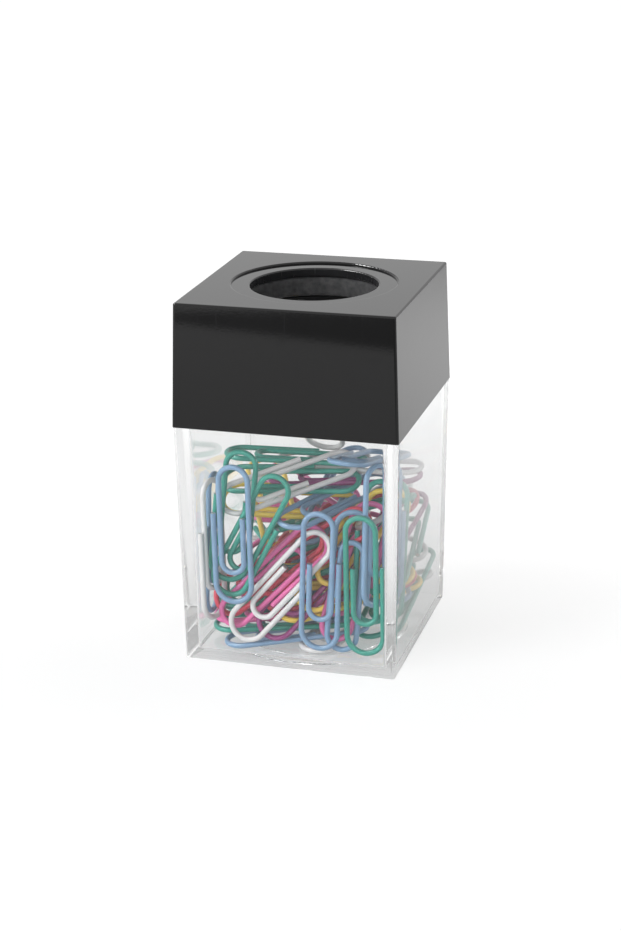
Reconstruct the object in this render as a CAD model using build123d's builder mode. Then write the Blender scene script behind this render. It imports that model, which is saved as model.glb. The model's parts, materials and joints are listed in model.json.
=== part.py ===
from build123d import *
import math
import os
from typing import NamedTuple

import numpy as np
from scipy.spatial import cKDTree

# Magnetic paper clip holder: a clear square box, a black cap with a ring magnet under its mouth,
# and the heap of vinyl-coated wire clips that it holds. Millimetres, +Z up, front face towards -Y,
# origin at the middle of the base.

# Box
total_height = 70.0
shoulder_height = 46.6
base_width = 41.0
shoulder_setback = 0.1
box_wall = 2.0
floor_thickness = 1.7
box_edge_radius = 0.6
base_edge_radius = 0.5
cavity_edge_radius = 0.8
cavity_floor_radius = 0.5
foot_recess_diameter = 31.0
foot_recess_depth = 0.55
foot_recess_radius = 0.3
neck_height = 10.0
neck_root_wall = 1.32
neck_top_wall = 0.95
neck_lead_in = 0.3

# Cap
cap_rim_width = 42.8
cap_top_width = 41.4
cap_wall = 1.15
cap_edge_radius = 0.45
cap_inner_radius = 0.5
cap_top_radius = 0.35
cap_fit = 0.1
top_recess_diameter = 31.0
top_recess_depth = 0.4
top_recess_radius = 0.3
top_plate = 1.85
mouth_diameter = 24.0
mouth_edge_radius = 0.3
mouth_chamfer = 0.45

# Magnet and the ring that keeps it up
magnet_outer_diameter = 30.0
magnet_inner_diameter = 25.2
magnet_thickness = 3.8
magnet_edge = 0.35
magnet_fit = 0.1
collar_wall = 1.2
retainer_thickness = 1.6
retainer_inner_diameter = 26.4
retainer_fit = 0.05
retainer_edge = 0.3

# Wire clip
clip_length = 28.0
clip_width = 8.0
wire_diameter = 1.05
arm_gap = 0.25
outer_arm_length = 18.1
inner_bend_reach = 21.6
inner_arm_length = 17.4

# Heap of clips
clip_clearance = 0.2
least_clearance = 0.06
heap_front_height = 42.5
heap_back_height = 33.0
heap_seed = 22
heap_chance_clips = 26
heap_front = -6.0
heap_margin = 3.0
heap_flat_tilt = 88.0
heap_tilt_spread = 12.0
heap_turn_spread = 25.0
heap_spread = 4.0
draw_steps = 600
draw_ease = 2.2
rest_steps = 140
wire_step = 0.9
longest_move = 0.8
longest_turn = 0.08
turn_inertia = 20.0
over_relax = 1.3
contact_passes = 2
shown_give = 0.35
heap_give = 1.0
shown_pull = 0.015
drawn_tilt = -45.0
drawn_turn_reach = 10.0
drawn_turn_step = 1.0

os.makedirs("parts", exist_ok=True)


def finish_piece(builder, name):
    """Labels a finished piece and writes it under its own name."""
    builder.part.label = name
    export_step(builder.part, f"parts/{name}.step")


def circles(builder, diameter):
    """The round edges of one diameter, lowest first."""
    rounds = builder.edges().filter_by(GeomType.CIRCLE)
    return rounds.filter_by(lambda edge: math.isclose(edge.radius, diameter / 2)).sort_by(Axis.Z)


def cap_width_at(height):
    """Outer width of the drafted cap at a height."""
    rise = (height - shoulder_height) / (total_height - shoulder_height)
    return cap_rim_width + (cap_top_width - cap_rim_width) * rise


def neck_width_at(height):
    """Outer width of the neck, which follows the cap's draft inside it."""
    return cap_width_at(height) - 2 * (cap_wall + cap_fit)


shoulder_width = cap_rim_width - 2 * shoulder_setback
neck_top = shoulder_height + neck_height
cavity_base_width = base_width - 2 * box_wall
cavity_shoulder_width = neck_width_at(shoulder_height) - 2 * neck_root_wall
cavity_top_width = neck_width_at(neck_top) - 2 * neck_top_wall

# Clear box: a drafted tub with a shoulder, and a neck that the cap slips over
with BuildPart() as clear_box:
    with BuildSketch():
        RectangleRounded(base_width, base_width, box_edge_radius)
    with BuildSketch(Plane.XY.offset(shoulder_height)):
        RectangleRounded(shoulder_width, shoulder_width, box_edge_radius)
    loft()
    with BuildSketch(Plane.XY.offset(shoulder_height)):
        RectangleRounded(neck_width_at(shoulder_height), neck_width_at(shoulder_height), cap_inner_radius)
    with BuildSketch(Plane.XY.offset(neck_top)):
        RectangleRounded(neck_width_at(neck_top), neck_width_at(neck_top), cap_inner_radius)
    loft()
    with BuildSketch(Plane.XY.offset(floor_thickness)):
        RectangleRounded(cavity_base_width, cavity_base_width, cavity_edge_radius)
    with BuildSketch(Plane.XY.offset(shoulder_height)):
        RectangleRounded(cavity_shoulder_width, cavity_shoulder_width, cavity_edge_radius)
    loft(mode=Mode.SUBTRACT)
    with BuildSketch(Plane.XY.offset(shoulder_height)):
        RectangleRounded(cavity_shoulder_width, cavity_shoulder_width, cavity_edge_radius)
    with BuildSketch(Plane.XY.offset(neck_top)):
        RectangleRounded(cavity_top_width, cavity_top_width, cavity_edge_radius)
    loft(mode=Mode.SUBTRACT)
    cavity_floor = clear_box.faces().filter_by(Axis.Z).filter_by_position(
        Axis.Z, floor_thickness - cavity_floor_radius / 2, floor_thickness + cavity_floor_radius / 2)
    fillet(cavity_floor[0].edges(), cavity_floor_radius)
    fillet(clear_box.faces().sort_by(Axis.Z)[0].edges(), base_edge_radius)
    chamfer(clear_box.faces().sort_by(Axis.Z)[-1].outer_wire().edges(), neck_lead_in)
    with BuildSketch():
        Circle(foot_recess_diameter / 2)
    extrude(amount=foot_recess_depth, mode=Mode.SUBTRACT)
    fillet(circles(clear_box, foot_recess_diameter)[0], foot_recess_radius)
finish_piece(clear_box, "clear_box")

# Cap: a drafted shell whose rim stands on the box's shoulder, with a collar for the magnet under its top
plate_top = total_height - top_recess_depth
plate_underside = plate_top - top_plate
collar_inner_diameter = magnet_outer_diameter + 2 * magnet_fit
collar_depth = magnet_thickness + retainer_thickness
with BuildPart() as cap:
    with BuildSketch(Plane.XY.offset(shoulder_height)):
        RectangleRounded(cap_rim_width, cap_rim_width, cap_edge_radius)
    with BuildSketch(Plane.XY.offset(total_height)):
        RectangleRounded(cap_top_width, cap_top_width, cap_edge_radius)
    loft()
    with BuildSketch(Plane.XY.offset(shoulder_height)):
        RectangleRounded(cap_rim_width - 2 * cap_wall, cap_rim_width - 2 * cap_wall, cap_inner_radius)
    with BuildSketch(Plane.XY.offset(plate_underside)):
        inner_width = cap_width_at(plate_underside) - 2 * cap_wall
        RectangleRounded(inner_width, inner_width, cap_inner_radius)
    loft(mode=Mode.SUBTRACT)
    fillet(cap.faces().sort_by(Axis.Z)[-1].edges(), cap_top_radius)
    with BuildSketch(Plane.XY.offset(plate_underside)):
        Circle(collar_inner_diameter / 2 + collar_wall)
        Circle(collar_inner_diameter / 2, mode=Mode.SUBTRACT)
    extrude(amount=-collar_depth)
    with BuildSketch(Plane.XY.offset(plate_top)):
        Circle(top_recess_diameter / 2)
    extrude(amount=top_recess_depth, mode=Mode.SUBTRACT)
    with BuildSketch(Plane.XY.offset(plate_underside)):
        Circle(mouth_diameter / 2)
    extrude(amount=top_plate, mode=Mode.SUBTRACT)
    chamfer(circles(cap, mouth_diameter)[0], mouth_chamfer)
    fillet(circles(cap, mouth_diameter)[-1], mouth_edge_radius)
    fillet(circles(cap, top_recess_diameter)[-1], top_recess_radius)
finish_piece(cap, "cap")


def ring(outer_diameter, inner_diameter, thickness, top, edge):
    """A flat ring hung from a height, with its edges broken."""
    with BuildPart() as piece:
        with BuildSketch(Plane.XY.offset(top)):
            Circle(outer_diameter / 2)
            Circle(inner_diameter / 2, mode=Mode.SUBTRACT)
        extrude(amount=-thickness)
        chamfer(piece.edges().filter_by(GeomType.CIRCLE), edge)
    return piece


ring_magnet = ring(
    magnet_outer_diameter, magnet_inner_diameter, magnet_thickness, plate_underside, magnet_edge)
finish_piece(ring_magnet, "ring_magnet")

magnet_retainer = ring(
    collar_inner_diameter - 2 * retainer_fit, retainer_inner_diameter, retainer_thickness,
    plate_underside - magnet_thickness, retainer_edge)
finish_piece(magnet_retainer, "magnet_retainer")

# Wire clip, lying flat about its own middle: x across, y along, with its wide bend towards -y
outer_arm = (clip_width - wire_diameter) / 2
inner_arm = outer_arm - wire_diameter - arm_gap
big_bend_y = -clip_length / 2 + wire_diameter / 2 + outer_arm
top_bend_radius = (outer_arm + inner_arm) / 2
top_bend_y = clip_length / 2 - wire_diameter / 2 - top_bend_radius
inner_bend_y = clip_length / 2 - inner_bend_reach + inner_arm
with BuildPart() as wire_clip:
    with BuildLine() as clip_line:
        free_arm = Line((-outer_arm, -clip_length / 2 + outer_arm_length), (-outer_arm, big_bend_y))
        big_bend = JernArc(free_arm @ 1, free_arm % 1, radius=outer_arm, arc_size=180)
        long_arm = Line(big_bend @ 1, (outer_arm, top_bend_y))
        top_bend = JernArc(long_arm @ 1, long_arm % 1, radius=top_bend_radius, arc_size=180)
        return_arm = Line(top_bend @ 1, (-inner_arm, inner_bend_y))
        inner_bend = JernArc(return_arm @ 1, return_arm % 1, radius=inner_arm, arc_size=180)
        Line(inner_bend @ 1, (inner_arm, -clip_length / 2 + inner_arm_length))
    with BuildSketch(Plane(origin=free_arm @ 0, z_dir=free_arm % 0)):
        Circle(wire_diameter / 2)
    sweep()

# The wire's centre line as points, for keeping the clips clear of each other
clip_wire = clip_line.wires()[0]
wire_count = math.ceil(clip_wire.length / wire_step)
wire_points = np.array([tuple(clip_wire @ (i / wire_count)) for i in range(wire_count + 1)])
contact_reach = math.hypot(wire_diameter + clip_clearance, wire_step / math.sqrt(2))
wall_gap = wire_diameter / 2 + clip_clearance


def clip_axes(lean, tilt, turn, flipped=False):
    """Columns across, along and square to a clip that stands upright facing the front,
    leant clockwise in its own plane, tilted back and then turned about the vertical."""
    a, b, c = np.radians([lean, tilt, turn])
    upright = np.array([[1, 0, 0], [0, 0, -1], [0, 1, 0]], dtype=float)
    if flipped:
        upright = upright * np.array([-1, 1, -1])
    leant = np.array([[math.cos(a), 0, math.sin(a)], [0, 1, 0], [-math.sin(a), 0, math.cos(a)]])
    tilted = np.array([[1, 0, 0], [0, math.cos(b), math.sin(b)], [0, -math.sin(b), math.cos(b)]])
    turned = np.array([[math.cos(c), -math.sin(c), 0], [math.sin(c), math.cos(c), 0], [0, 0, 1]])
    return turned @ tilted @ leant @ upright


def turned_by(turns):
    """Rotation matrices for turns that are given as axes with the angle as their length."""
    angles = np.linalg.norm(turns, axis=1) + 1e-12
    x, y, z = (turns / angles[:, None]).T
    zero = np.zeros_like(x)
    cross = np.array([[zero, -z, y], [z, zero, -x], [-y, x, zero]]).transpose(2, 0, 1)
    sine, cosine = np.sin(angles)[:, None, None], np.cos(angles)[:, None, None]
    return np.eye(3) + sine * cross + (1 - cosine) * (cross @ cross)


def wires_of(axes, middles):
    """The centre line points of every clip."""
    return np.einsum("nij,mj->nmi", axes, wire_points) + middles[:, None]


def limited(moves, longest):
    """Moves cut down to a longest one."""
    lengths = np.linalg.norm(moves, axis=1)
    return moves * np.minimum(1, longest / np.maximum(lengths, 1e-9))[:, None]


def heap_top_at(depth):
    """Height of the heap's sloping top, which is highest at the front."""
    return heap_front_height + (heap_back_height - heap_front_height) * (depth / cavity_base_width + 0.5)


def heap_half_at(heights):
    """Half the width that the heap has at a height, which is never wider than the hollow's floor."""
    rise = np.clip((heights - floor_thickness) / (shoulder_height - floor_thickness), 0, 1)
    hollow = cavity_base_width + (cavity_shoulder_width - cavity_base_width) * rise
    return np.minimum(hollow, cavity_base_width) / 2 - wall_gap


def wall_pushes(points, room):
    """How far points have to move to lie between the hollow's walls, with some room added all round."""
    half = heap_half_at(points[:, 2]) + room
    pushes = np.zeros_like(points)
    pushes[:, 0] = np.clip(points[:, 0], -half, half) - points[:, 0]
    pushes[:, 1] = np.clip(points[:, 1], -half, half) - points[:, 1]
    low = floor_thickness + wall_gap - room
    high = heap_top_at(points[:, 1]) - wire_diameter / 2 + room
    pushes[:, 2] = np.clip(points[:, 2], low, high) - points[:, 2]
    return pushes


def part_clips(axes, middles, give, room):
    """Moves and turns clips once, away from the wires and the walls that they come too near."""
    count = len(middles)
    owner = np.repeat(np.arange(count), len(wire_points))
    points = wires_of(axes, middles).reshape(-1, 3)
    one, other = cKDTree(points).query_pairs(contact_reach, output_type="ndarray").T
    apart = owner[one] != owner[other]
    one, other = one[apart], other[apart]
    between = points[one] - points[other]
    length = np.linalg.norm(between, axis=1) + 1e-9
    push = between * ((contact_reach - length) / length)[:, None]
    share = give[owner[one]] / (give[owner[one]] + give[owner[other]])
    walls = wall_pushes(points, room)
    at_wall = np.flatnonzero(np.abs(walls).sum(axis=1) > 1e-6)
    index = np.concatenate([one, other, at_wall])
    pushes = np.concatenate([push * share[:, None], -push * (1 - share)[:, None], walls[at_wall]])

    def summed(values):
        return np.stack([np.bincount(owner[index], column, minlength=count) for column in values.T], axis=1)

    weight = np.linalg.norm(pushes, axis=1)[:, None] + 1e-6
    total = summed(weight) + 1e-9
    moves = summed(pushes * weight) / total
    arms = points[index] - middles[owner[index]]
    twist = summed(np.cross(arms, pushes - moves[owner[index]]) * weight)
    inertia = summed((arms ** 2).sum(axis=1)[:, None] * weight) + turn_inertia * total
    middles = middles + limited(over_relax * moves, longest_move)
    return turned_by(limited(over_relax * twist / inertia, longest_turn)) @ axes, middles


def turns_between(axes, aims):
    """The turns that bring clips to the way they are meant to lie, good for small angles."""
    turn = aims @ axes.transpose(0, 2, 1)
    return np.stack([turn[:, 2, 1] - turn[:, 1, 2], turn[:, 0, 2] - turn[:, 2, 0],
                     turn[:, 1, 0] - turn[:, 0, 1]], axis=1) / 2


def draw_together(axes, middles, give, pull):
    """Starts the clips spread apart and draws them in, parting those that meet on the way.
    While they are drawn in, the clips with a pull are also led back to their own places."""
    heart = np.array([0.0, 0.0, (floor_thickness + heap_front_height) / 2])
    aim_axes, aim_middles = axes, middles
    spread = 1.0
    for step in range(draw_steps + rest_steps):
        left = max(0.0, 1 - step / draw_steps)
        wanted = 1 + (heap_spread - 1) * left ** draw_ease
        middles = heart + (middles - heart) * wanted / spread
        spread = wanted
        if left > 0:
            middles = middles + (heart + (aim_middles - heart) * spread - middles) * pull
            axes = turned_by(turns_between(axes, aim_axes) * pull) @ axes
        for contact_pass in range(contact_passes):
            axes, middles = part_clips(axes, middles, give, (spread - 1) * cavity_base_width / 2)
    return axes, middles


class Lay(NamedTuple):
    """One clip that shows in the heap: where its middle is meant to be, and how it lies."""
    name: str
    middle: tuple
    lean: float = 0.0
    tilt: float = 0.0
    turn: float = 0.0
    flipped: bool = False


shown_clips = [
    Lay("blue_clip_left", (-10.6, -17.6, 25.4), 0.5),
    Lay("blue_clip_corner", (15.4, -14.6, 26.5), 5, turn=55, flipped=True),
    Lay("green_clip_right", (13.6, -17.6, 17.6), -2, turn=4, flipped=True),
    Lay("blue_clip_right", (11.6, -15.9, 16.9), 182),
    Lay("blue_clip_middle", (6.0, -17.6, 17.4), 1, flipped=True),
    Lay("white_clip_centre", (-2.4, -14.6, 14.5), 42, flipped=True),
    Lay("white_clip_left", (-15.9, -13.6, 19.3), 0, 6, 72),
    Lay("blue_clip_side", (-17.6, -10.5, 19.4), 0, 4, 84),
    Lay("green_clip_diagonal", (-7.6, -15.8, 25.4), 33, flipped=True),
    Lay("pink_clip_diagonal", (-5.1, -12.8, 18.5), 222),
    Lay("green_clip_top_left", (-12.9, -12.8, 29.5), 9, 4),
    Lay("red_clip_upper", (0.9, -11.3, 23.4), 37, 6),
    Lay("red_clip_lower", (-6.5, -10.0, 15.5), 46, 10),
    Lay("purple_clip_middle", (1.5, -10.8, 14.5), 45, 10, 12),
    Lay("pink_clip_middle", (9.5, -11.0, 18.0), 190, 10, 12),
    Lay("green_clip_back_right", (13.8, -9.8, 22.0), 6, 10, 15),
    Lay("green_clip_low_right", (-1.0, -8.0, 12.0), 47, 20, -10),
    Lay("yellow_clip_right", (9.0, -7.5, 22.0), 35, 25, 15),
    Lay("white_clip_top", (-6.0, -7.0, 33.0), 58, 42, 14),
    Lay("blue_clip_top", (3.5, -7.5, 31.5), 55, 50, 28),
    Lay("yellow_clip_top_left", (-7.0, -5.0, 29.5), 80, 50, 0),
    Lay("purple_clip_top", (9.0, 0.5, 35.4), 88, 84, 6),
    Lay("white_clip_top_right", (8.5, 3.5, 37.0), 92, 84, 6),
    Lay("green_clip_top_front", (-6.5, -3.0, 34.5), 62, 66, -18),
    Lay("green_clip_top_back", (-6.0, 1.0, 36.0), 58, 74, -22),
    Lay("blue_clip_floor", (-1.6, -10.4, 4.0), 61, 86),
    Lay("white_clip_floor", (5.5, -2.0, 2.5), 8, 90),
    Lay("green_clip_lowest", (-4.5, -8.0, 5.5), 80, 88),
    Lay("pink_clip_low", (-4.8, -7.0, 7.0), 75, 85),
    Lay("green_clip_low", (-5.0, -6.0, 8.5), 82, 82),
    Lay("yellow_clip_floor", (7.0, -4.0, 8.0), 55, 82),
    Lay("red_clip_low", (8.0, -6.0, 9.5), 70, 78),
    Lay("yellow_clip_low", (8.0, -5.0, 11.0), 78, 74),
]
heap_colours = ["blue", "green", "white", "pink", "blue", "green", "red", "white", "yellow", "green",
                "blue", "purple", "pink", "white"]

# The rest of the heap lies at chance places, upright near the front and flat towards the back
chance = np.random.default_rng(heap_seed)
names = [lay.name for lay in shown_clips]
all_axes = [clip_axes(lay.lean, lay.tilt, lay.turn, lay.flipped) for lay in shown_clips]
all_middles = [lay.middle for lay in shown_clips]
side_reach = cavity_base_width / 2 - heap_margin
for number in range(heap_chance_clips):
    side = chance.uniform(-side_reach, side_reach)
    depth = chance.uniform(heap_front, side_reach)
    height = chance.uniform(floor_thickness + heap_margin, heap_top_at(depth) - heap_margin)
    way_back = min(1, (depth + side_reach) / (side_reach - heap_front))
    tilt = heap_flat_tilt * way_back + chance.uniform(-heap_tilt_spread, heap_tilt_spread)
    turn = chance.uniform(-heap_turn_spread, heap_turn_spread)
    names.append(f"{heap_colours[number % len(heap_colours)]}_clips_heap")
    all_axes.append(clip_axes(chance.uniform(0, 360), tilt, turn))
    all_middles.append((side, depth, height))
give = np.array([shown_give] * len(shown_clips) + [heap_give] * heap_chance_clips)
pull = np.array([shown_pull] * len(shown_clips) + [0.0] * heap_chance_clips)[:, None]
all_axes, all_middles = draw_together(np.array(all_axes), np.array(all_middles), give, pull)

# Clips that still press on another one or on the walls are left out
laid = {}
kept_wires = []
least_apart = math.hypot(wire_diameter + least_clearance, wire_step / math.sqrt(2))


def keep_clip(name, axes, middle):
    """Keeps a clip's place."""
    kept_wires.append(wire_points @ axes.T + middle)
    place = Plane(origin=tuple(middle), x_dir=tuple(axes[:, 0]), z_dir=tuple(axes[:, 2])).location
    laid.setdefault(name, []).append(place)


def is_clear(points):
    """Whether a clip's wire lies clear of the walls and of the wires that are kept."""
    if np.abs(wall_pushes(points, clip_clearance - least_clearance)).max() > 0:
        return False
    return not kept_wires or cKDTree(np.concatenate(kept_wires)).query(points)[0].min() >= least_apart


for name, axes, middle in zip(names, all_axes, all_middles):
    if is_clear(wire_points @ axes.T + middle):
        keep_clip(name, axes, middle)

# The next clip to be taken lies on top under the mouth, where it came to rest when it was lowered straight in
heap_points = np.concatenate(kept_wires)
heap_from_above = cKDTree(heap_points[:, :2])


def rest_height(axes):
    """How high a clip's middle is when the clip is lowered onto the heap along the mouth's axis."""
    wire = wire_points @ axes.T
    near = cKDTree(wire[:, :2]).sparse_distance_matrix(heap_from_above, contact_reach, output_type="ndarray")
    above = np.sqrt(contact_reach ** 2 - near["v"] ** 2)
    return (heap_points[near["j"], 2] + above - wire[near["i"], 2]).max()


drawn_turns = np.arange(-drawn_turn_reach, drawn_turn_reach, drawn_turn_step)
drawn_axes = min((clip_axes(0, drawn_tilt, turn) for turn in drawn_turns), key=rest_height)
keep_clip("white_clip_drawn", drawn_axes, (0.0, 0.0, rest_height(drawn_axes)))

for name, places in laid.items():
    with BuildPart() as clips:
        with Locations(*places):
            add(wire_clip.part, clean=False)
    finish_piece(clips, name)
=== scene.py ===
import json
import math

import bmesh
import bpy
from mathutils import Matrix, Vector


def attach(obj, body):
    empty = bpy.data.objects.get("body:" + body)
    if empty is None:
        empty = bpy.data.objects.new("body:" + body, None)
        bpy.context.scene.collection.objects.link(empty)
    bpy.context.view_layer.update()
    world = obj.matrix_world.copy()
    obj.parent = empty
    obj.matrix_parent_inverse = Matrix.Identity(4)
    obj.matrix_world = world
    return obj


# Magnetic paper clip holder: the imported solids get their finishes, the clips' wires get their cut steel
# ends, and a white studio is set up round them. Metres, +Z up, front face towards -Y.

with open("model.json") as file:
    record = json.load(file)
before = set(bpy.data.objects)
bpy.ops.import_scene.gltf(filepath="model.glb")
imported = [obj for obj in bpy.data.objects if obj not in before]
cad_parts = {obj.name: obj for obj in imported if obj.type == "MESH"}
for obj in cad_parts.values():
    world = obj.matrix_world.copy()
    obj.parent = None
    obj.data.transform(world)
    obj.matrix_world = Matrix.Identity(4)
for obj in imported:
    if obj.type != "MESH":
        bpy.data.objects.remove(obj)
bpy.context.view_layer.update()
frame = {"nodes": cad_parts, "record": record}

# Camera, as it stood for the photograph
photo_width = 621
photo_height = 931
camera_azimuth = math.radians(16.26)
camera_elevation = math.radians(19.38)
camera_roll = math.radians(-0.813)
camera_distance = 0.403218
camera_focal_pixels = 2102.322
camera_aim_right = -0.00118
camera_aim_up = -0.001213
camera_aim_height = 0.035
camera_near = 0.01

# Table: its paint, and its glow to each kind of ray. A pair of glows is for a near and a far distance from
# the middle of the holder, and the span under it gives those two distances.
table_size = 6.0
table_tone = 0.6
table_glow_straight = (0.62, 0.8)
table_span_straight = (0.05, 0.4)
table_glow_in_gloss = 0.28
table_glow_through_plastic = (0.36, 0.45)
table_span_through_plastic = (0.028, 0.055)

# Room: the light that it sheds from its bright and its dim side, and the level at which it is seen
room_bright = 0.55
room_dim = 0.04
room_bright_side = (-0.93, -0.25, 0.27)
room_straight = 1.0
room_in_gloss = 0.93
room_through_plastic = 0.95

# Dark sheet on the table before the holder, seen in glossy faces alone: a painted dark reflection, seen most
# in the cap's front face
dark_reflection_corners = [(-0.159, -0.314), (0.3, -0.4445), (0.3, -0.206)]
dark_reflection_height = 0.001
dark_reflection_tone = 0.27

# Lamps: where each stands, the point that it faces, the side of its square and its watts. The softboxes that
# light the holder leave no image in glossy faces, and the glint lamp leaves nothing else.
lamps = {
    "key_softbox": {"place": (-0.5, -0.42, 0.2), "aim": (0, 0, 0.03), "size": 0.3, "power": 2.6},
    "fill_softbox": {"place": (0.14, -0.66, 0.16), "aim": (0, 0, 0.03), "size": 0.3, "power": 1.7},
    "back_softbox": {"place": (0.45, 0.35, 0.1), "aim": (0, 0, 0.03), "size": 0.3, "power": 1.2},
    "table_softbox": {"place": (0.2, 0.3, 0.3), "aim": (0.09, 0.19, 0), "size": 0.15, "power": 0.1},
    "glint_lamp": {"place": (-0.37, -0.13, 0.53), "aim": (0, 0, 0.05), "size": 0.2, "power": 4.0},
}
lamps_without_gloss = ("key_softbox", "fill_softbox", "back_softbox")
lamp_for_gloss_alone = "glint_lamp"
narrow_lamp = "table_softbox"
narrow_lamp_spread = math.radians(50)

# Light that runs inside the clear walls is turned back many times before it leaves them
bounces_in_all = 32
bounces_of_a_kind = 24

# Level about which the noise in the finishes swings
noise_middle = 0.5

# Rub marks: the turn and the stretch of two crossing sets, and the noise at which a mark starts and is full
rub_sets = (((0.5, 0.3, 0.5), (2600.0, 90.0, 70.0)), ((-0.8, -0.48, -0.8), (80.0, 2300.0, 100.0)))
rub_levels = (0.64, 0.74)

# Mouth of the cap, whose wall is duller than the rest
mouth_radius = 12.0e-3
dull_edge = 0.1e-3
dull_gain = 3.0
dull_roughness = 0.22

# Clip wire and the steel in its cut ends. An end is a flat spot of about the wire's own round section.
wire_radius = 0.525e-3
steel_radius = 0.40e-3
steel_crown_radius = 0.24e-3
steel_proud = 0.03e-3
steel_dome = 0.05e-3
end_corners = 20
flat_enough = 0.9999
end_reach_at_most = 1.1 * wire_radius
end_area_at_least = 0.8 * math.pi * wire_radius ** 2

vinyl_colours = {
    "vinyl_blue": (0.21, 0.35, 0.52),
    "vinyl_green": (0.035, 0.3, 0.235),
    "vinyl_white": (0.72, 0.72, 0.72),
    "vinyl_pink": (0.69, 0.14, 0.365),
    "vinyl_red": (0.59, 0.045, 0.088),
    "vinyl_yellow": (0.93, 0.68, 0.11),
    "vinyl_purple": (0.27, 0.048, 0.185),
}


def add_node(tree, kind, **settings):
    """A new node. Settings named like its inputs set those, and the others set the node itself."""
    made = tree.nodes.new(kind)
    for name, value in settings.items():
        socket = made.inputs.get(name.replace("_", " "))
        if socket is not None:
            socket.default_value = value
        else:
            setattr(made, name, value)
    return made


def feed(tree, value, socket):
    """Sets an input to a number, or links it to another node's output."""
    if isinstance(value, bpy.types.NodeSocket):
        tree.links.new(value, socket)
    else:
        socket.default_value = value


def worked_out(tree, operation, *values):
    """The result of a sum on numbers or on other nodes' outputs."""
    made = add_node(tree, "ShaderNodeMath", operation=operation)
    for value, socket in zip(values, made.inputs):
        feed(tree, value, socket)
    return made.outputs[0]


def scaled(tree, colour, factor):
    """A colour made brighter or darker by a factor."""
    made = add_node(tree, "ShaderNodeVectorMath", operation="SCALE")
    tree.links.new(colour, made.inputs[0])
    tree.links.new(factor, made.inputs["Scale"])
    return made.outputs["Vector"]


def faded(tree, value, span, levels):
    """A level that goes from a first to a last one while a value goes through a span."""
    fade = add_node(tree, "ShaderNodeMapRange", From_Min=span[0], From_Max=span[1],
                    To_Min=levels[0], To_Max=levels[1])
    tree.links.new(value, fade.inputs["Value"])
    return fade.outputs["Result"]


def length_of(tree, vector):
    """The length of a vector."""
    made = add_node(tree, "ShaderNodeVectorMath", operation="LENGTH")
    tree.links.new(vector, made.inputs[0])
    return made.outputs["Value"]


def object_place(tree):
    """Each point's place in the holder's frame."""
    return add_node(tree, "ShaderNodeTexCoord").outputs["Object"]


def new_group(name, inputs, outputs):
    """An empty shader node group with named sockets, with its input and output nodes."""
    group = bpy.data.node_groups.new(name, "ShaderNodeTree")
    for label, kind, value in inputs:
        socket = group.interface.new_socket(name=label, in_out="INPUT", socket_type=kind)
        socket.default_value = value
    for label, kind in outputs:
        group.interface.new_socket(name=label, in_out="OUTPUT", socket_type=kind)
    return group, group.nodes.new("NodeGroupInput"), group.nodes.new("NodeGroupOutput")


def place_group(tree, group, **values):
    """A group placed in a material with its own values."""
    placed = tree.nodes.new("ShaderNodeGroup")
    placed.node_tree = group
    for name, value in values.items():
        placed.inputs[name.replace("_", " ")].default_value = value
    return placed


def new_material(name):
    """An empty node material, with its tree and its output node."""
    material = bpy.data.materials.new(name)
    material.use_nodes = True
    tree = material.node_tree
    tree.nodes.clear()
    return material, tree, tree.nodes.new("ShaderNodeOutputMaterial")


def make_mottle_group():
    """Cloudy changes of tone in a surface, and the uneven gloss and fine waviness that go with them."""
    group, source, result = new_group(
        "mottle",
        [("Colour", "NodeSocketColor", (0.5, 0.5, 0.5, 1)), ("Depth", "NodeSocketFloat", 0.1),
         ("Cloud Scale", "NodeSocketFloat", 400.0), ("Grain Scale", "NodeSocketFloat", 4000.0),
         ("Roughness", "NodeSocketFloat", 0.4), ("Gloss Change", "NodeSocketFloat", 0.1)],
        [("Colour", "NodeSocketColor"), ("Roughness", "NodeSocketFloat"), ("Height", "NodeSocketFloat")])
    links = group.links
    place = object_place(group)
    clouds = add_node(group, "ShaderNodeTexNoise", Detail=3.0, Roughness=0.55)
    grain = add_node(group, "ShaderNodeTexNoise", Detail=2.0, Roughness=0.6)
    links.new(place, clouds.inputs["Vector"])
    links.new(place, grain.inputs["Vector"])
    given = source.outputs
    links.new(given["Cloud Scale"], clouds.inputs["Scale"])
    links.new(given["Grain Scale"], grain.inputs["Scale"])
    cloud = worked_out(group, "SUBTRACT", clouds.outputs["Fac"], noise_middle)
    tone = worked_out(group, "MULTIPLY_ADD", cloud, given["Depth"], 1.0)
    gloss = worked_out(group, "MULTIPLY_ADD", cloud, given["Gloss Change"], given["Roughness"])
    links.new(scaled(group, given["Colour"], tone), result.inputs["Colour"])
    links.new(gloss, result.inputs["Roughness"])
    links.new(grain.outputs["Fac"], result.inputs["Height"])
    return group


def make_rub_mark_group():
    """Fine straight rub marks that cross each other, as a mask."""
    group, source, result = new_group(
        "rub_marks", [("Amount", "NodeSocketFloat", 0.05)], [("Mask", "NodeSocketFloat")])
    links = group.links
    place = object_place(group)
    marks = []
    for turn, stretch in rub_sets:
        mapped = add_node(group, "ShaderNodeMapping", Rotation=turn, Scale=stretch)
        noise = add_node(group, "ShaderNodeTexNoise", Scale=1.0, Detail=2.0)
        links.new(place, mapped.inputs["Vector"])
        links.new(mapped.outputs["Vector"], noise.inputs["Vector"])
        marks.append(faded(group, noise.outputs["Fac"], rub_levels, (0.0, 1.0)))
    either = worked_out(group, "MAXIMUM", *marks)
    links.new(worked_out(group, "MULTIPLY", either, source.outputs["Amount"]), result.inputs["Mask"])
    return group


mottle = make_mottle_group()
rub_marks = make_rub_mark_group()


def rubbed(tree, roughness, amount):
    """A roughness that rises along fine rub marks."""
    marks = place_group(tree, rub_marks, Amount=amount)
    return worked_out(tree, "ADD", roughness, marks.outputs["Mask"])


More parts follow.
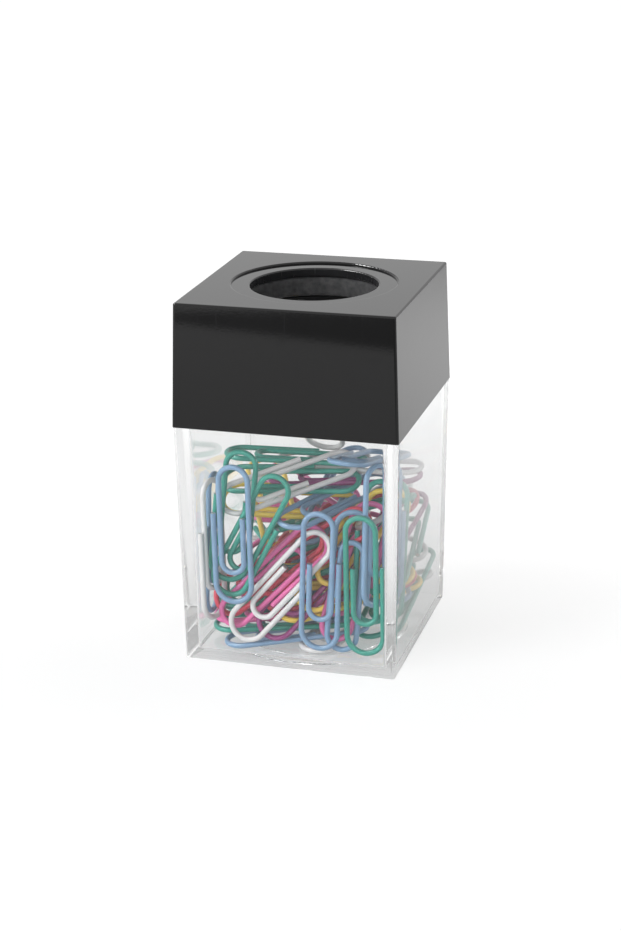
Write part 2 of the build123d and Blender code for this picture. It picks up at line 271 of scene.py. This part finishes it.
def within(tree, radius, edge):
    """A mask that is 1 within a radius of the holder's upright middle line and fades to 0 past it."""
    level = add_node(tree, "ShaderNodeVectorMath", operation="MULTIPLY")
    level.inputs[1].default_value = (1, 1, 0)
    tree.links.new(object_place(tree), level.inputs[0])
    return faded(tree, length_of(tree, level.outputs["Vector"]), (radius, radius + edge), (1.0, 0.0))


def dress(tree, shader, colour, roughness, height, bump_strength, bump_depth):
    """Feeds a shader its colour and its roughness, and bumps it by a height."""
    bump = add_node(tree, "ShaderNodeBump", Strength=bump_strength, Distance=bump_depth)
    tree.links.new(height, bump.inputs["Height"])
    tree.links.new(colour, shader.inputs["Base Color"])
    tree.links.new(roughness, shader.inputs["Roughness"])
    tree.links.new(bump.outputs["Normal"], shader.inputs["Normal"])


def make_vinyl(name, colour):
    """Smooth coloured vinyl drawn over wire."""
    material, tree, result = new_material(name)
    coat = place_group(tree, mottle, Colour=(*colour, 1), Depth=0.22, Cloud_Scale=260.0, Grain_Scale=2600.0,
                       Roughness=0.36, Gloss_Change=0.2)
    skin = add_node(tree, "ShaderNodeBsdfPrincipled", IOR=1.5)
    dress(tree, skin, coat.outputs["Colour"], coat.outputs["Roughness"], coat.outputs["Height"],
          bump_strength=0.25, bump_depth=0.02e-3)
    tree.links.new(skin.outputs["BSDF"], result.inputs["Surface"])
    return material


def make_black_plastic(name, roughness, gloss_change, grain_scale, grain_depth):
    """Black moulded plastic, which the mould's pin leaves duller in the wall of the mouth."""
    material, tree, result = new_material(name)
    black = place_group(tree, mottle, Colour=(0.004, 0.004, 0.0043, 1), Depth=0.5, Cloud_Scale=90.0,
                        Grain_Scale=grain_scale, Roughness=roughness, Gloss_Change=gloss_change)
    mouth_wall = within(tree, mouth_radius + dull_edge, dull_edge)
    gain = worked_out(tree, "MULTIPLY_ADD", mouth_wall, dull_gain, 1.0)
    gloss = rubbed(tree, black.outputs["Roughness"], amount=0.05)
    dulled = worked_out(tree, "MULTIPLY_ADD", mouth_wall, dull_roughness, gloss)
    skin = add_node(tree, "ShaderNodeBsdfPrincipled", IOR=1.47)
    dress(tree, skin, scaled(tree, black.outputs["Colour"], gain), dulled, black.outputs["Height"],
          bump_strength=0.3, bump_depth=grain_depth)
    tree.links.new(skin.outputs["BSDF"], result.inputs["Surface"])
    return material


def make_clear_plastic(name):
    """Clear polished plastic with slightly wavy moulded walls. Lamps and room light pass it unbent."""
    material, tree, result = new_material(name)
    wall = place_group(tree, mottle, Colour=(0.98, 0.985, 0.985, 1), Depth=0.02, Cloud_Scale=60.0,
                       Grain_Scale=110.0, Roughness=0.02, Gloss_Change=0.02)
    clear = add_node(tree, "ShaderNodeBsdfPrincipled", IOR=1.49, Transmission_Weight=1.0)
    gloss = rubbed(tree, wall.outputs["Roughness"], amount=0.06)
    dress(tree, clear, wall.outputs["Colour"], gloss, wall.outputs["Height"],
          bump_strength=0.12, bump_depth=0.05e-3)
    passing = add_node(tree, "ShaderNodeBsdfTransparent")
    ray = add_node(tree, "ShaderNodeLightPath")
    either = add_node(tree, "ShaderNodeMixShader")
    lets_through = worked_out(tree, "MAXIMUM", ray.outputs["Is Shadow Ray"], ray.outputs["Is Diffuse Ray"])
    tree.links.new(lets_through, either.inputs[0])
    tree.links.new(clear.outputs["BSDF"], either.inputs[1])
    tree.links.new(passing.outputs["BSDF"], either.inputs[2])
    tree.links.new(either.outputs["Shader"], result.inputs["Surface"])
    return material


def make_ferrite(name):
    """Dull sintered ferrite with a coarse grain."""
    material, tree, result = new_material(name)
    grit = place_group(tree, mottle, Colour=(0.078, 0.078, 0.08, 1), Depth=1.8, Cloud_Scale=900.0,
                       Grain_Scale=3200.0, Roughness=0.6, Gloss_Change=0.3)
    skin = add_node(tree, "ShaderNodeBsdfPrincipled", IOR=1.45)
    dress(tree, skin, grit.outputs["Colour"], grit.outputs["Roughness"], grit.outputs["Height"],
          bump_strength=0.5, bump_depth=0.08e-3)
    tree.links.new(skin.outputs["BSDF"], result.inputs["Surface"])
    return material


def make_cut_steel(name):
    """Sheared end of the steel wire."""
    material, tree, result = new_material(name)
    shear = place_group(tree, mottle, Colour=(0.52, 0.52, 0.53, 1), Depth=0.5, Cloud_Scale=3000.0,
                        Grain_Scale=9000.0, Roughness=0.38, Gloss_Change=0.3)
    skin = add_node(tree, "ShaderNodeBsdfPrincipled", Metallic=1.0)
    dress(tree, skin, shear.outputs["Colour"], shear.outputs["Roughness"], shear.outputs["Height"],
          bump_strength=0.4, bump_depth=0.03e-3)
    tree.links.new(skin.outputs["BSDF"], result.inputs["Surface"])
    return material


finishes = {
    "clear_plastic": make_clear_plastic("clear_plastic"),
    "black_plastic": make_black_plastic(
        "black_plastic", roughness=0.04, gloss_change=0.03, grain_scale=2200.0, grain_depth=0.005e-3),
    "retainer_plastic": make_black_plastic(
        "retainer_plastic", roughness=0.55, gloss_change=0.1, grain_scale=1500.0, grain_depth=0.05e-3),
    "ferrite": make_ferrite("ferrite"),
}
for vinyl, colour in vinyl_colours.items():
    finishes[vinyl] = make_vinyl(vinyl, colour)
cut_steel = make_cut_steel("cut_steel")

slot_of = {piece["node"]: piece["material_slot"] for piece in frame["record"]["subparts"]}
for node, piece in frame["nodes"].items():
    for material_slot in piece.material_slots:
        material_slot.material = finishes[slot_of[node]]


def wire_ends(clip):
    """Middles and outward directions of the flat round ends of a clip node's wires."""
    surface = bmesh.new()
    surface.from_mesh(clip.data)
    ends = []
    seen = set()
    for first in surface.faces:
        if first in seen:
            continue
        flat = [first]
        seen.add(first)
        for face in flat:
            for edge in face.edges:
                for other in edge.link_faces:
                    if other not in seen and other.normal.dot(first.normal) > flat_enough:
                        seen.add(other)
                        flat.append(other)
        area = sum(face.calc_area() for face in flat)
        middle = sum((face.calc_center_median() * face.calc_area() for face in flat), Vector()) / area
        reach = max((corner.co - middle).length for face in flat for corner in face.verts)
        if reach < end_reach_at_most and area > end_area_at_least:
            ends.append((middle, first.normal.copy()))
    surface.free()
    return ends


def build_cut_ends(node, clip, body):
    """The bare steel that shows in the cut ends of a node's clips, slightly domed from the shears."""
    profile = ((steel_radius, 0.0), (steel_radius, steel_proud), (steel_crown_radius, steel_dome))
    shape = bmesh.new()
    for middle, outward in wire_ends(clip):
        turn = outward.to_track_quat("Z", "X").to_matrix().to_4x4()
        rings = []
        for radius, rise in profile:
            ring = []
            for corner in range(end_corners):
                angle = 2 * math.pi * corner / end_corners
                spot = Vector((radius * math.cos(angle), radius * math.sin(angle), rise))
                ring.append(shape.verts.new(middle + turn @ spot))
            rings.append(ring)
        for lower, upper in zip(rings, rings[1:]):
            for corner in range(end_corners):
                following = (corner + 1) % end_corners
                shape.faces.new((lower[corner], lower[following], upper[following], upper[corner]))
        shape.faces.new(rings[-1])
        shape.faces.new(rings[0][::-1])
    mesh = bpy.data.meshes.new(f"{node}_cut_ends")
    shape.to_mesh(mesh)
    shape.free()
    ends = bpy.data.objects.new(f"{node}_cut_ends", mesh)
    bpy.context.scene.collection.objects.link(ends)
    mesh.materials.append(cut_steel)
    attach(ends, body)


for body, nodes in frame["record"]["behaviour"]["bodies"].items():
    for node in nodes:
        if slot_of[node] in vinyl_colours:
            build_cut_ends(node, frame["nodes"][node], body)


def by_ray(tree, lighting, straight, in_gloss, through_plastic):
    """A level that depends on how a ray comes to see the surroundings."""
    ray = add_node(tree, "ShaderNodeLightPath")
    level = lighting
    for output, value in (("Is Camera Ray", straight), ("Is Glossy Ray", in_gloss),
                          ("Is Transmission Ray", through_plastic)):
        pick = add_node(tree, "ShaderNodeMix", data_type="FLOAT")
        tree.links.new(ray.outputs[output], pick.inputs["Factor"])
        feed(tree, level, pick.inputs["A"])
        feed(tree, value, pick.inputs["B"])
        level = pick.outputs["Result"]
    return level


def add_sheet(name, corners, material):
    """A flat sheet that belongs to the studio."""
    mesh = bpy.data.meshes.new(name)
    mesh.from_pydata(corners, [], [range(len(corners))])
    mesh.materials.append(material)
    sheet = bpy.data.objects.new(name, mesh)
    bpy.context.scene.collection.objects.link(sheet)
    return sheet


def build_table():
    """White table that keeps the holder's shadow and runs out of sight."""
    material, tree, result = new_material("white_table")
    paint = add_node(tree, "ShaderNodeBsdfPrincipled", Roughness=0.9, Specular_IOR_Level=0.0,
                     Base_Color=(table_tone, table_tone, table_tone, 1), Emission_Color=(1, 1, 1, 1))
    away = length_of(tree, object_place(tree))
    straight = faded(tree, away, table_span_straight, table_glow_straight)
    through = faded(tree, away, table_span_through_plastic, table_glow_through_plastic)
    glow = by_ray(tree, 0.0, straight, table_glow_in_gloss, through)
    tree.links.new(glow, paint.inputs["Emission Strength"])
    tree.links.new(paint.outputs["BSDF"], result.inputs["Surface"])
    half = table_size / 2
    add_sheet("table", [(-half, -half, 0), (half, -half, 0), (half, half, 0), (-half, half, 0)], material)


def build_dark_reflection():
    """Dark sheet on the table before the holder, which shows in glossy faces alone as a painted dark
    reflection.
    """
    material, tree, result = new_material("painted_dark_reflection")
    dark_reflection_shader = add_node(tree, "ShaderNodeBsdfPrincipled", Roughness=1.0, Specular_IOR_Level=0.0,
                     Base_Color=(dark_reflection_tone, dark_reflection_tone, dark_reflection_tone, 1))
    tree.links.new(dark_reflection_shader.outputs["BSDF"], result.inputs["Surface"])
    dark_reflection_sheet = add_sheet("dark_reflection_sheet", [(x, y, dark_reflection_height) for x, y in dark_reflection_corners], material)
    dark_reflection_sheet.visible_camera = False
    dark_reflection_sheet.visible_diffuse = False
    dark_reflection_sheet.visible_transmission = False
    dark_reflection_sheet.visible_shadow = False


def build_room():
    """White all round at full brightness where it is seen, while its light comes most from one side."""
    world = bpy.data.worlds.new("white_room")
    bpy.context.scene.world = world
    world.use_nodes = True
    tree = world.node_tree
    tree.nodes.clear()
    direction = add_node(tree, "ShaderNodeTexCoord").outputs["Generated"]
    facing = add_node(tree, "ShaderNodeVectorMath", operation="DOT_PRODUCT")
    facing.inputs[1].default_value = room_bright_side
    tree.links.new(direction, facing.inputs[0])
    light = faded(tree, facing.outputs["Value"], (-1.0, 1.0), (room_dim, room_bright))
    level = by_ray(tree, light, room_straight, room_in_gloss, room_through_plastic)
    sky = add_node(tree, "ShaderNodeBackground", Color=(1, 1, 1, 1))
    result = tree.nodes.new("ShaderNodeOutputWorld")
    tree.links.new(level, sky.inputs["Strength"])
    tree.links.new(sky.outputs["Background"], result.inputs["Surface"])
    world.cycles.sampling_method = "NONE"


def add_softbox(name, place, aim, size, power):
    """A square softbox that faces a point."""
    light = bpy.data.lights.new(name, "AREA")
    light.size = size
    light.energy = power
    softbox = bpy.data.objects.new(name, light)
    bpy.context.scene.collection.objects.link(softbox)
    softbox.location = place
    softbox.rotation_euler = (Vector(aim) - Vector(place)).to_track_quat("-Z", "Y").to_euler()
    softbox.visible_glossy = name not in lamps_without_gloss
    softbox.visible_diffuse = name != lamp_for_gloss_alone
    if name == narrow_lamp:
        light.spread = narrow_lamp_spread


def build_camera():
    """The camera at the photograph's angle, rolled and aimed as it was."""
    a, e, r = camera_azimuth, camera_elevation, camera_roll
    back = Vector((math.sin(a) * math.cos(e), -math.cos(a) * math.cos(e), math.sin(e)))
    level = Vector((math.cos(a), math.sin(a), 0))
    rise = back.cross(level)
    right = level * math.cos(r) + rise * math.sin(r)
    up = rise * math.cos(r) - level * math.sin(r)
    aim = Vector((0, 0, camera_aim_height)) + level * camera_aim_right + rise * camera_aim_up
    lens = bpy.data.cameras.new("photo_camera")
    lens.lens = camera_focal_pixels / max(photo_width, photo_height) * lens.sensor_width
    lens.clip_start = camera_near
    camera = bpy.data.objects.new("photo_camera", lens)
    bpy.context.scene.collection.objects.link(camera)
    turn = Matrix((right, up, back)).transposed().to_4x4()
    camera.matrix_world = Matrix.Translation(aim + back * camera_distance) @ turn
    bpy.context.scene.camera = camera


build_table()
build_dark_reflection()
build_room()
for lamp, settings in lamps.items():
    add_softbox(lamp, **settings)
build_camera()
bpy.context.scene.view_settings.view_transform = "Standard"

light_paths = bpy.context.scene.cycles
light_paths.max_bounces = bounces_in_all
light_paths.glossy_bounces = bounces_of_a_kind
light_paths.transmission_bounces = bounces_of_a_kind
light_paths.transparent_max_bounces = bounces_of_a_kind
